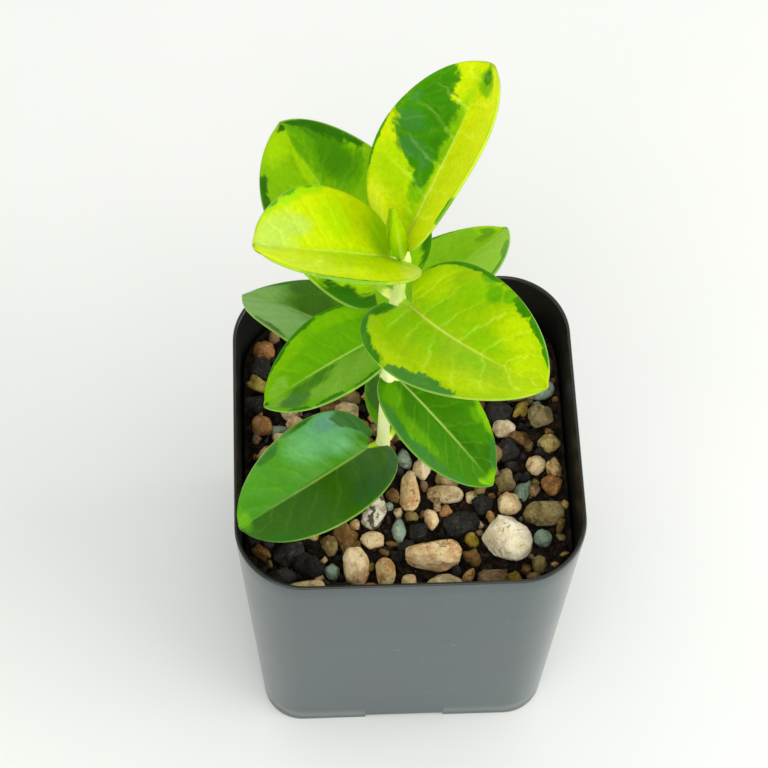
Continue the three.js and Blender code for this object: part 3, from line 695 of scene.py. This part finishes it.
# Angles are in degrees. azimuth is the way a leaf points, counted from +X, pitch is its rise, and
# roll tips it about its midrib. fold lifts both halves and curl bends their margins down again.
# droop and sweep bend the midrib down and to the side, and twist turns the tip.
# petiole leads from the stem's middle to the blade. shoulder and taper give the outline, and lobe
# is how far the base reaches back beside the midrib, as a share of the length.
# slant leans the side veins to the tip, and veins and midrib say how clearly they show.
# paint is a list of washes over the ground colour, the last on top: a colour, how soft and how
# ragged its edge is, and its spots. A spot is (s, side, reach along, reach across): s runs from
# the base to the tip, and side from -1 on the right margin to 1 on the left.
LEAVES = {
    "leaf_top_back_right": dict(
        node="highest", petiole=(0.7, 2.7, 2.6), length=36, width=25, azimuth=54, pitch=38, roll=-36,
        fold=26, curl=-0.05, droop=-4, sweep=-1, twist=19, shoulder=0.36, taper=0.53, lobe=0.03,
        slant=0.1, veins=0.85, midrib=0.6, ground=(200, 222, 2),
        paint=(
            ((178, 214, 4), 0.9, 0.6,
             ((0.3, 0.12, 0.34, 0.2), (0.62, 0.1, 0.3, 0.14), (0.3, 0.7, 0.12, 0.4))),
            ((220, 238, 60), 0.9, 0.9, ((0.1, 0.85, 0.12, 0.25), (0.02, 0.5, 0.08, 0.4))),
            # This wash brightens the right half: painted light where less light falls on it.
            ((218, 236, 4), 0.3, 0.2, ((0.5, -0.62, 0.7, 0.62),)),
            ((130, 186, 6), 0.5, 0.9,
             ((0.3, 0.2, 0.12, 0.14), (0.93, -0.28, 0.08, 0.42), (0.56, 0.16, 0.2, 0.16))),
            ((58, 136, 18), 0.3, 1.2,
             ((0.36, 0.22, 0.09, 0.12), (0.45, 0.35, 0.1, 0.25), (0.55, 0.5, 0.12, 0.38),
              (0.66, 0.6, 0.13, 0.46), (0.78, 0.8, 0.12, 0.36), (0.87, 0.96, 0.06, 0.26),
              (0.94, -0.28, 0.035, 0.26), (0.4, 1.03, 0.2, 0.07), (0.3, -1.03, 0.08, 0.1))),
            # A dark green wash whose bluish tint is a painted reflection.
            ((56, 128, 52), 0.8, 1.2,
             ((0.45, 0.5, 0.05, 0.22), (0.57, 0.68, 0.06, 0.24), (0.42, 0.27, 0.05, 0.08),
              (0.7, 0.84, 0.04, 0.08))),
            ((44, 126, 2), 0.8, 0.9,
             ((0.66, 0.4, 0.08, 0.2), (0.78, 0.7, 0.07, 0.2), (0.52, 0.25, 0.05, 0.1))),
        ),
    ),
    "leaf_top_front_left": dict(
        node="highest", petiole=(-2.5, -1, 2.9), length=33.2, width=23.5, azimuth=203, pitch=41, roll=9,
        fold=26, curl=0.04, droop=4, sweep=-3, twist=-14, shoulder=0.35, taper=0.52, lobe=0.07,
        slant=0.2, veins=0.45, midrib=0.45, ground=(190, 212, 6),
        paint=(
            # The darker base is painted shade.
            ((156, 198, 2), 0.9, 0.3, ((0.0, -0.5, 0.14, 0.7), (0.02, 0.2, 0.1, 0.5))),
            ((176, 212, 2), 0.9, 0.8,
             ((0.3, 0.1, 0.35, 0.2), (0.5, 0.6, 0.25, 0.2), (0.4, -0.5, 0.12, 0.3))),
            # The two pale washes towards the tip are a painted sheen.
            ((202, 226, 50), 0.9, 1.1, ((0.9, 0.5, 0.3, 0.6), (0.55, 0.75, 0.2, 0.2))),
            ((178, 204, 84), 0.9, 1.1, ((0.93, -0.35, 0.24, 0.5), (0.74, -0.4, 0.16, 0.2))),
            ((150, 200, 4), 0.9, 1.2, ((0.75, -0.95, 0.16, 0.14), (0.55, -0.96, 0.1, 0.1))),
            ((84, 156, 8), 0.5, 1.8,
             ((0.72, -1.01, 0.05, 0.09), (0.84, -0.99, 0.03, 0.08), (0.57, -1.01, 0.03, 0.06),
              (0.6, 1.04, 0.3, 0.07))),
        ),
    ),
    "leaf_upper_back_left": dict(
        node="upper", petiole=(-3.8, 2.9, 2.1), length=36, width=27, azimuth=124, pitch=30, roll=5,
        fold=26, curl=-0.12, droop=23, sweep=-8, twist=-35, shoulder=0.35, taper=0.7, lobe=0.1,
        slant=0.2, veins=0.35, midrib=0.35, ground=(134, 188, 2),
        paint=(
            ((164, 208, 6), 0.9, 0.9,
             ((0.9, 0.45, 0.1, 0.5), (0.2, 0.4, 0.3, 0.7), (0.72, 0.1, 0.14, 0.1))),
            ((96, 162, 2), 0.8, 1.5,
             ((0.74, -0.5, 0.2, 0.42), (0.6, -0.45, 0.12, 0.35), (0.82, -0.1, 0.1, 0.14),
              (0.92, -0.6, 0.08, 0.4))),
            ((66, 134, 2), 0.8, 1.5,
             ((0.64, -0.5, 0.1, 0.28), (0.8, -0.72, 0.14, 0.22), (0.72, -0.6, 0.07, 0.3))),
            ((34, 102, 2), 0.5, 1.9,
             ((0.83, -0.92, 0.15, 0.2), (0.68, -0.97, 0.06, 0.1), (0.94, -0.75, 0.05, 0.24),
              (0.72, 0.98, 0.06, 0.14), (0.64, 1.0, 0.05, 0.12), (0.5, 1.03, 0.3, 0.06),
              (0.06, 0.98, 0.14, 0.34), (0.22, -1.0, 0.2, 0.14), (0.97, 0.2, 0.02, 0.4))),
        ),
    ),
    "leaf_upper_front_right": dict(
        node="upper", petiole=(2.2, -2.8, 2.2), length=38, width=27, azimuth=-62, pitch=29, roll=13,
        fold=22, curl=0.11, droop=14, sweep=21, twist=3, shoulder=0.35, taper=0.58, lobe=0.11,
        slant=0.26, veins=0.75, midrib=0.75, ground=(164, 200, 0),
        paint=(
            ((148, 198, 2), 0.9, 1.1,
             ((0.22, 0.25, 0.14, 0.2), (0.3, -0.25, 0.2, 0.16), (0.55, 0.22, 0.16, 0.14),
              (0.6, -0.2, 0.14, 0.12), (0.1, -0.35, 0.1, 0.3), (0.35, 0.6, 0.12, 0.2))),
            ((192, 222, 20), 0.9, 0.9,
             ((0.75, 0.6, 0.14, 0.3), (0.9, 0.2, 0.12, 0.5), (0.1, 0.6, 0.1, 0.3))),
            ((182, 212, 34), 0.9, 0.9,
             ((0.68, -0.66, 0.2, 0.18), (0.97, -0.1, 0.1, 0.8), (0.3, -0.82, 0.16, 0.1))),
            ((104, 174, 4), 0.7, 1.3,
             ((0.47, 0.8, 0.06, 0.14), (0.56, 0.9, 0.05, 0.1), (0.38, 0.95, 0.06, 0.08))),
            ((50, 128, 6), 0.3, 1.7,
             ((0.68, 0.99, 0.08, 0.15), (0.82, 0.99, 0.1, 0.13), (0.93, 0.95, 0.04, 0.14),
              (0.25, 1.0, 0.26, 0.07), (0.01, -0.85, 0.03, 0.3), (0.2, -1.0, 0.12, 0.12),
              (0.08, -1.02, 0.08, 0.12))),
            # The dark margin's bluish tint here is a painted reflection.
            ((72, 132, 56), 0.25, 1.6,
             ((0.54, -0.97, 0.12, 0.2), (0.42, -0.98, 0.08, 0.14), (0.63, -1.0, 0.07, 0.14))),
        ),
    ),
    "leaf_middle_back_right": dict(
        node="middle", petiole=(2.2, 2.7, -0.8), length=33, width=22, azimuth=49, pitch=-8, roll=-21,
        fold=18, curl=0.02, droop=3, sweep=-2, twist=-3, shoulder=0.43, taper=0.76, lobe=0.1,
        slant=0.24, veins=0.2, midrib=0.3, ground=(128, 184, 8),
        paint=(
            # The paler wash is a painted sheen.
            ((156, 206, 36), 0.5, 0.4, ((0.7, -0.5, 0.34, 0.52), (0.95, 0.6, 0.1, 0.6))),
            ((104, 160, 10), 0.6, 0.8,
             ((0.86, 0.28, 0.08, 0.14), (0.78, -0.9, 0.08, 0.1), (0.9, 0.5, 0.04, 0.3))),
            ((70, 138, 14), 0.4, 1.2, ((0.5, 1.0, 0.3, 0.08), (0.6, -1.02, 0.3, 0.08))),
        ),
    ),
    "leaf_middle_front_left": dict(
        node="middle", petiole=(-1.9, -0.4, -0.7), length=27.5, width=19, azimuth=199, pitch=-19, roll=5,
        fold=19, curl=0.02, droop=11, sweep=2, twist=-2, shoulder=0.44, taper=0.73, lobe=0.11,
        slant=0.26, veins=0.35, midrib=0.5, ground=(94, 162, 2),
        paint=(
            ((116, 176, 6), 0.9, 0.9,
             ((0.7, -0.8, 0.25, 0.2), (0.93, -0.1, 0.1, 0.6), (0.3, -0.8, 0.2, 0.14))),
            # The greyish wash is a painted sheen.
            ((120, 170, 52), 0.6, 0.5,
             ((0.36, 0.5, 0.34, 0.42), (0.9, 0.4, 0.1, 0.3), (0.85, -0.3, 0.1, 0.3))),
            ((60, 124, 2), 0.9, 1.2,
             ((0.6, 0.26, 0.13, 0.16), (0.5, 0.13, 0.1, 0.08), (0.7, 0.3, 0.1, 0.2))),
            ((66, 118, 44), 0.7, 1.2, ((0.78, 0.62, 0.11, 0.28), (0.7, 0.55, 0.06, 0.16))),
            ((40, 110, 20), 0.2, 1.6,
             ((0.5, -1.0, 0.12, 0.1), (0.72, -0.98, 0.14, 0.1), (0.3, -1.02, 0.1, 0.08),
              (0.5, 1.0, 0.14, 0.1), (0.25, 1.0, 0.1, 0.08), (0.75, 0.98, 0.08, 0.1),
              (0.98, 0.1, 0.02, 0.5))),
        ),
    ),
    "leaf_lower_back_left": dict(
        node="lower", petiole=(-2.3, 4.1, 0.5), length=34.5, width=23.5, azimuth=135, pitch=-2, roll=19,
        fold=13, curl=0.02, droop=25, sweep=9, twist=3, shoulder=0.44, taper=0.74, lobe=0.1,
        slant=0.26, veins=0.12, midrib=0.3, ground=(66, 122, 8),
        paint=(
            # The pale greyish wash is a painted sheen.
            ((122, 168, 86), 0.7, 0.5, ((0.7, 0.55, 0.5, 0.56), (0.95, -0.2, 0.2, 0.7))),
            ((48, 100, 2), 0.6, 0.6, ((0.55, -0.3, 0.12, 0.3), (0.66, -0.75, 0.1, 0.3))),
            ((46, 96, 20), 0.4, 1.2, ((0.6, 1.0, 0.14, 0.12), (0.85, -0.95, 0.12, 0.14))),
        ),
    ),
    "leaf_lower_front_right": dict(
        node="lower", petiole=(2.4, -0.5, -0.6), length=29, width=19.5, azimuth=-44, pitch=-18, roll=-8,
        fold=9, curl=-0.02, droop=22, sweep=6, twist=6, shoulder=0.41, taper=0.72, lobe=0.12,
        slant=0.26, veins=0.35, midrib=0.5, ground=(48, 116, 0), gloss=0.16,
        paint=(
            ((50, 112, 2), 0.8, 0.9,
             ((0.15, -0.3, 0.12, 0.2), (0.35, 0.3, 0.2, 0.24), (0.68, -0.2, 0.08, 0.1))),
            # This lighter wash is a painted sheen.
            ((84, 144, 10), 0.9, 0.9,
             ((0.35, -0.68, 0.22, 0.2), (0.08, -0.6, 0.08, 0.3), (0.55, 0.75, 0.06, 0.1))),
            ((34, 98, 2), 0.8, 1.1,
             ((0.72, 0.2, 0.12, 0.14), (0.84, 0.5, 0.1, 0.44), (0.6, 0.1, 0.08, 0.06))),
            ((44, 108, 40), 0.7, 1.0, ((0.87, 0.85, 0.08, 0.26), (0.8, 0.9, 0.06, 0.16))),
            ((112, 172, 6), 0.9, 1.2,
             ((0.6, 0.98, 0.12, 0.14), (0.98, 0.1, 0.06, 0.9), (0.95, -0.5, 0.06, 0.3))),
            ((52, 112, 44), 0.3, 1.5,
             ((0.5, -0.97, 0.16, 0.26), (0.24, -0.97, 0.13, 0.22), (0.74, -1.0, 0.12, 0.18),
              (0.37, -1.0, 0.12, 0.18))),
        ),
    ),
    "leaf_lowest_front_left": dict(
        node="lowest", petiole=(-3.4, -2, 1.6), length=33, width=23, azimuth=223, pitch=20, roll=-7,
        fold=26, curl=-0.01, droop=49, sweep=-20, twist=-22, shoulder=0.42, taper=0.65, lobe=0.11,
        slant=0.26, veins=0.22, midrib=0.35, ground=(64, 136, 2),
        gloss=0.4, rough=0.26, sheen=(0.6, 1.0, 0.5),
        paint=(
            # The dark wash over the left half is painted shade.
            ((50, 98, 12), 0.25, 0.2, ((0.5, 0.6, 0.9, 0.62),)),
            ((70, 140, 10), 0.9, 0.9, ((0.12, -0.3, 0.2, 0.3), (0.4, -0.45, 0.2, 0.3))),
            # These two pale bluish washes are a painted highlight.
            ((112, 178, 118), 1.3, 0.7, ((0.27, -0.66, 0.2, 0.32), (0.18, -0.4, 0.1, 0.2))),
            ((96, 156, 134), 0.9, 0.9, ((0.2, -0.82, 0.12, 0.16),)),
            ((46, 92, 34), 0.5, 0.8, ((0.24, 0.8, 0.12, 0.3), (0.1, 0.95, 0.12, 0.2))),
            ((40, 100, 20), 0.3, 1.3,
             ((0.8, 0.95, 0.1, 0.14), (0.62, -0.97, 0.08, 0.14), (0.08, -0.85, 0.12, 0.2),
              (0.4, -1.0, 0.1, 0.08))),
            ((96, 160, 4), 0.8, 0.8, ((0.97, -0.2, 0.06, 0.7),)),
        ),
    ),
    "leaf_lowest_back_right": dict(
        node="lowest", petiole=(2.7, 3.8, -0.4), length=32, width=21, azimuth=64, pitch=-5, roll=14,
        fold=6, curl=0.06, droop=24, sweep=6, twist=0, shoulder=0.42, taper=0.73, lobe=0.07,
        slant=0.26, veins=0.2, midrib=0.4, ground=(70, 130, 10),
        paint=(
            ((110, 164, 10), 0.8, 0.6, ((0.1, -0.6, 0.14, 0.4), (0.5, -0.3, 0.3, 0.2))),
            ((44, 92, 30), 0.4, 1.2,
             ((0.5, 0.98, 0.3, 0.14), (0.5, -1.0, 0.3, 0.12), (0.2, 0.7, 0.14, 0.3))),
        ),
    ),
}


def outline(s, leaf):
    """Half the width at s, a number or a shade, as a share of the widest half."""
    widest = leaf["shoulder"] / (leaf["shoulder"] + leaf["taper"])
    return (s / widest) ** leaf["shoulder"] * ((1 - s) / (1 - widest)) ** leaf["taper"]


def midrib_frame(t, leaf):
    """The midrib's place, side and up at a share of the length, in the leaf's own frame."""
    droop, sweep, twist = (math.radians(leaf[key]) for key in ("droop", "sweep", "twist"))

    def heading(share):
        flat = Vector((math.cos(sweep * share), math.sin(sweep * share), 0))
        return flat * math.cos(droop * share) - Vector((0, 0, math.sin(droop * share)))

    place = Vector()
    for i in range(MIDRIB_STEPS):
        place += heading(t * (i + 0.5) / MIDRIB_STEPS) * leaf["length"] * t / MIDRIB_STEPS
    side = Vector((-math.sin(sweep * t), math.cos(sweep * t), 0))
    side = Matrix.Rotation(twist * t, 3, heading(t)) @ side
    return place, side, heading(t).cross(side)


def vein_phase(s, side, slant):
    """Whole numbers lie on the side veins, which leave the midrib and slant towards the tip."""
    return (s - slant * abs(side) ** 1.15 + 0.03 * (side > 0)) * VEIN_PAIRS


def blade_point(s, side, leaf):
    """A place on the middle of the blade's thickness, in the leaf's own frame."""
    half = leaf["width"] / 2
    out = half * outline(s, leaf) * side
    share = s - leaf["lobe"] * side * side * (1 - s) ** 3
    folded = math.tan(math.radians(leaf["fold"])) * (math.hypot(out, 0.3) - 0.3)
    curled = leaf["curl"] * out * out / half
    between_veins = math.cos(math.tau * (vein_phase(s, side, leaf["slant"]) + 0.5))
    quilt = 0.05 * leaf.get("quilt", 1) * math.sin(math.pi * abs(side)) * between_veins
    wave = 0.22 * abs(side) ** 3 * math.sin(9 * s + leaf["azimuth"])
    groove = 0.1 * math.exp(-((out / 0.55) ** 2)) * (1 - s) ** 0.5
    place, side_way, up = midrib_frame(share, leaf)
    return place + side_way * out + up * (folded - curled + quilt + wave - groove)


BLADE_START = 0.03
MARGIN_THIN, LEAST_THICK = 0.5, 0.3
FACE, BACK, PETIOLE = range(3)


def blade_mesh(leaf, thick, along, across):
    """A closed blade in the leaf's own frame, pointed at the tip, with s and side on its own map."""
    bm = bmesh.new()
    uv = bm.loops.layers.uv.new("blade")
    weight = bm.verts.layers.deform.verify()
    bmesh.ops.create_grid(bm, x_segments=along, y_segments=across, size=1)
    where = {}
    for v in bm.verts:
        u = BLADE_START + (1 - BLADE_START) * (v.co.x + 1) / 2
        where[v] = (0.5 - 0.5 * math.cos(math.pi * u), math.sin(math.pi / 2 * v.co.y))
    for face in bm.faces:
        for loop in face.loops:
            s, side = where[loop.vert]
            loop[uv].uv = (s, (side + 1) / 2)
    for v, (s, side) in where.items():
        v.co = blade_point(s, side, leaf)
        v[weight][0] = 1 - MARGIN_THIN * abs(side) ** 3
    bmesh.ops.remove_doubles(bm, verts=bm.verts, dist=0.01)
    mesh = bpy.data.meshes.new("blade")
    bm.to_mesh(mesh)
    bm.free()
    blade = bpy.data.objects.new("blade", mesh)
    scene.collection.objects.link(blade)
    blade.vertex_groups.new(name="thick")
    shell = blade.modifiers.new("thickness", "SOLIDIFY")
    shell.thickness = thick
    shell.offset = 0
    shell.vertex_group = "thick"
    shell.thickness_vertex_group = LEAST_THICK
    shell.material_offset = BACK
    shell.material_offset_rim = FACE
    rounding = blade.modifiers.new("rounding", "SUBSURF")
    rounding.levels = rounding.render_levels = 1
    for _ in range(2):
        mesh.materials.append(None)
    graph = bpy.context.evaluated_depsgraph_get()
    made = bpy.data.meshes.new_from_object(blade.evaluated_get(graph))
    bpy.data.objects.remove(blade)
    return made


def spots_depth(where, spots):
    """How deep a place lies in the nearest spot: 0 on its edge and 1 in its middle."""
    deepest = None
    for along, across, reach_along, reach_across in spots:
        away = where.vector("SUBTRACT", (along, across, 0))
        away = away.vector("MULTIPLY", (1 / reach_along, 1 / reach_across, 0))
        depth = 1 - away.vector("LENGTH", out=1)
        deepest = depth if deepest is None else deepest.greater(depth)
    return deepest


def on_blade(at):
    """The blade's own map: s from 0 to 1 along the midrib, and side from -1 to 1 across it."""
    place = at.node("ShaderNodeSeparateXYZ", {0: at.node("ShaderNodeUVMap", uv_map="blade")})
    return place, Shade(place.tree, place.socket.node.outputs[1]) * 2 - 1


def vein_gap(phase):
    """How far a place is from the nearest side vein, where the veins are 1 apart."""
    return abs(phase.math("FRACT", phase + 0.5) - 0.5)


def leaf_material(name, leaf, seed):
    """The blade's upper face: variegation, veins and wax, all on the blade's own map."""
    material, shader, at = new_material(
        name, specular_ior_level=leaf.get("gloss", 0.3), subsurface_weight=0.35, subsurface_scale=0.003
    )
    shader.inputs["Subsurface Radius"].default_value = (0.9, 1.0, 0.1)
    shader.inputs["Specular Tint"].default_value = (*leaf.get("sheen", (0.7, 1.0, 0.12)), 1)
    s, side = on_blade(at)
    out = abs(side)
    where = at.node("ShaderNodeCombineXYZ", {0: s, 1: side})
    length, width = leaf["length"], leaf["width"]
    slanted = s - out ** 1.15 * leaf["slant"]
    flat = at.node("ShaderNodeCombineXYZ", {0: s * length, 1: side * (width / 2), 2: float(seed)})
    along_veins = {0: slanted * length, 1: side * (width * 0.28), 2: float(seed)}
    streaked = at.node("ShaderNodeCombineXYZ", along_veins)
    ragged = streaked.grain(0.8, detail=6, roughness=0.7) - 0.5
    cloud = streaked.grain(0.32, detail=4, roughness=0.6)

    color = None
    ground = srgb(*leaf["ground"])
    for tone, soft, rag, spots in leaf["paint"]:
        depth = spots_depth(where, spots) + ragged * rag + (cloud - 0.5) * (0.5 * rag)
        covered = depth.step(-soft / 2, soft / 2)
        color = covered.mix(color or ground, srgb(*tone))

    wobble = (flat.grain(0.2, detail=4, roughness=0.6) - 0.5) * 0.95
    gap = vein_gap((slanted + side.step(-0.02, 0.02) * 0.03) * VEIN_PAIRS + wobble)
    side_vein = (1 - gap.step(0.0, 0.125)) * out.step(0.97, 0.5) * (cloud.step(0.3, 0.62) * 0.7 + 0.3)
    bend = flat.node("ShaderNodeCombineXYZ", {0: wobble * 6, 1: wobble * -5})
    cells = {"Vector": flat.vector("ADD", bend), "Scale": 0.27}
    net = flat.node("ShaderNodeTexVoronoi", cells, feature="DISTANCE_TO_EDGE")
    loops = (1 - net.step(0.0, 0.12)) * 0.3 * cloud.step(0.35, 0.6)
    rib = 1 - abs(side * outline(s, leaf) * (width / 2)).step(0.08, 0.45)
    lighter = color.node("ShaderNodeHueSaturation", {"Color": color, "Value": 1.2, "Saturation": 0.92})
    pale = {0: 0.14, 6: lighter, 7: (*srgb(236, 242, 130), 1)}
    paler = lighter.node("ShaderNodeMix", pale, out=2, data_type="RGBA")
    color = (side_vein.greater(loops) * leaf["veins"]).mix(color, paler)
    rib_color = tuple(0.3 * c + 0.7 * p for c, p in zip(ground, srgb(242, 248, 150)))
    color = (rib * s.step(1.0, 0.3) * leaf["midrib"]).mix(color, rib_color)
    mottle = flat.grain(1.1, detail=4, roughness=0.65)
    shifted = {"Color": color, "Value": cloud * 0.28 + mottle * 0.44 + 0.65, "Saturation": 1.04}
    color = color.node("ShaderNodeHueSaturation", shifted)
    color = (out.step(0.95, 0.985) * 0.3).mix(color, srgb(60, 124, 8))
    # The palest line at the very edge is a painted highlight.
    color = (out.step(0.993, 1.0) * 0.35).mix(color, srgb(166, 206, 80))
    paint(
        material,
        shader,
        bump=cloud * 0.6 + gap.step(0.0, 0.25) * 0.5 + ragged * 0.2,
        height=0.00008,
        base_color=color,
        roughness=cloud * 0.12 + leaf.get("rough", 0.34),
    )
    return material


UNDERSIDE_SLANT = 0.24
leaf_back, shader, at = new_material(
    "leaf_underside", specular_ior_level=0.4, subsurface_weight=0.14, subsurface_scale=0.0016
)
s, side = on_blade(at)
gap = vein_gap((s - abs(side) ** 1.15 * UNDERSIDE_SLANT) * VEIN_PAIRS)
rib = (1 - gap.step(0.01, 0.08)) * 0.5 + (1 - abs(side).step(0.02, 0.12))
mottle = at.grain(260, detail=4)
pale_green = mottle.step(0.3, 0.7).mix(srgb(128, 170, 64), srgb(150, 188, 84))
pale_green = (rib * 0.5).mix(pale_green, srgb(196, 214, 130))
matt = dict(base_color=pale_green, roughness=mottle * 0.1 + 0.5)
paint(leaf_back, shader, bump=rib * 2 + mottle * 0.5, height=0.00012, **matt)

# The skin is pale where it joins the stem, and green beyond. It also glows faintly in its own colour, as
# painted light.
STEM_MIDDLE = (-4.6 * mm, -6 * mm, 0)
petiole_skin, shader, at = new_material("petiole_skin", specular_ior_level=0.3, emission_strength=0.07)
streaks = at.grain(900, detail=3)
skin = streaks.step(0.3, 0.7).mix(srgb(222, 236, 96), srgb(244, 250, 150))
stem_away = at.vector("SUBTRACT", STEM_MIDDLE).vector("MULTIPLY", (1, 1, 0)).vector("LENGTH", out=1)
skin = stem_away.step(0.0014, 0.0026).mix(skin, srgb(168, 206, 30))
painted_glow = dict(base_color=skin, emission_color=skin, roughness=streaks * 0.1 + 0.45)
paint(petiole_skin, shader, bump=streaks, height=0.00008, **painted_glow)


def way_of(azimuth, pitch, roll=0):
    """Turns a leaf from lying along +X to the way it points on the plant."""
    turn = Euler((math.radians(roll), -math.radians(pitch), math.radians(azimuth)), "XYZ")
    return turn.to_matrix().to_4x4()


# A petiole starts inside the stem, a little way out from its middle, and ends under the blade.
PETIOLE_RADIUS, PETIOLE_STEPS, PETIOLE_START = 0.85, 14, 1.0
PETIOLE_BEND = Vector((-0.6, 0, -0.5))
for number, (node, leaf) in enumerate(LEAVES.items()):
    bm = bmesh.new()
    bm.from_mesh(blade_mesh(leaf, BLADE_THICK, along=56, across=36))
    root = stem_point(NODE_HEIGHTS[leaf["node"]])
    base = root + Vector(leaf["petiole"])
    placing = Matrix.Translation(base) @ way_of(leaf["azimuth"], leaf["pitch"], leaf["roll"])
    start = placing.inverted() @ root
    start = start * (1 - PETIOLE_START / start.length)
    under_blade = midrib_frame(0.12, leaf)[0] + Vector((0, 0, -0.2))
    shares = [i / PETIOLE_STEPS for i in range(PETIOLE_STEPS + 1)]
    points = [smooth_through([start, PETIOLE_BEND, under_blade], share) for share in shares]
    radii = [PETIOLE_RADIUS * (1.12 - 0.5 * share**2) for share in shares]
    for face in add_tube(bm, points, radii):
        face.material_index = PETIOLE
    bmesh.ops.transform(bm, matrix=placing, verts=bm.verts)
    upper = leaf_material("variegated_" + node, leaf, seed=10 * number + 3)
    piece = new_piece("waxy_" + node, bm, upper, leaf_back, petiole_skin)
    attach(piece, "root")
    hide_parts(node)

# Young leaves
# The youngest pair, still upright and pressed face to face over the growing tip.
# They are lime all over, and darker along one margin and at the tip.
YOUNG = dict(
    length=15, width=3.2, azimuth=105, pitch=82, fold=10, curl=0, droop=-14, sweep=0, twist=0,
    shoulder=0.5, taper=0.9, lobe=0, slant=0.3, quilt=0.2, veins=0.2, midrib=0.3, ground=(166, 202, 8),
    paint=(
        ((154, 194, 6), 0.9, 0.5, ((0.1, 0, 0.3, 1.0), (0.9, 0.6, 0.2, 0.5))),
        ((148, 192, 8), 0.5, 0.8, ((0.5, -1.0, 0.5, 0.3), (0.99, 0, 0.05, 0.9))),
    ),
)
YOUNG_THICK, YOUNG_APART = 0.85, 0.95
YOUNG_BASE = stem_point(STEM_TOP) + Vector((-0.8, -0.8, 0.6))
young_lean = Matrix.Rotation(math.radians(-6), 4, "X") @ Matrix.Rotation(math.radians(-7), 4, "Y")
young_place = Matrix.Translation(YOUNG_BASE) @ young_lean
young_wax = leaf_material("young_wax", YOUNG, seed=7)
for node, turned, length in (("young_leaf_left", 0, 12), ("young_leaf_right", 180, 15)):
    azimuth = YOUNG["azimuth"] + turned
    out = Vector((math.cos(math.radians(azimuth)), math.sin(math.radians(azimuth)), 0))
    own_place = young_place @ Matrix.Translation(out * YOUNG_APART) @ way_of(azimuth, YOUNG["pitch"])
    bm = bmesh.new()
    bm.from_mesh(blade_mesh({**YOUNG, "length": length}, YOUNG_THICK, along=30, across=14))
    bmesh.ops.transform(bm, matrix=own_place, verts=bm.verts)
    piece = new_piece("closed_" + node, bm, young_wax, young_wax)
    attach(piece, "root")
    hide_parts(node)
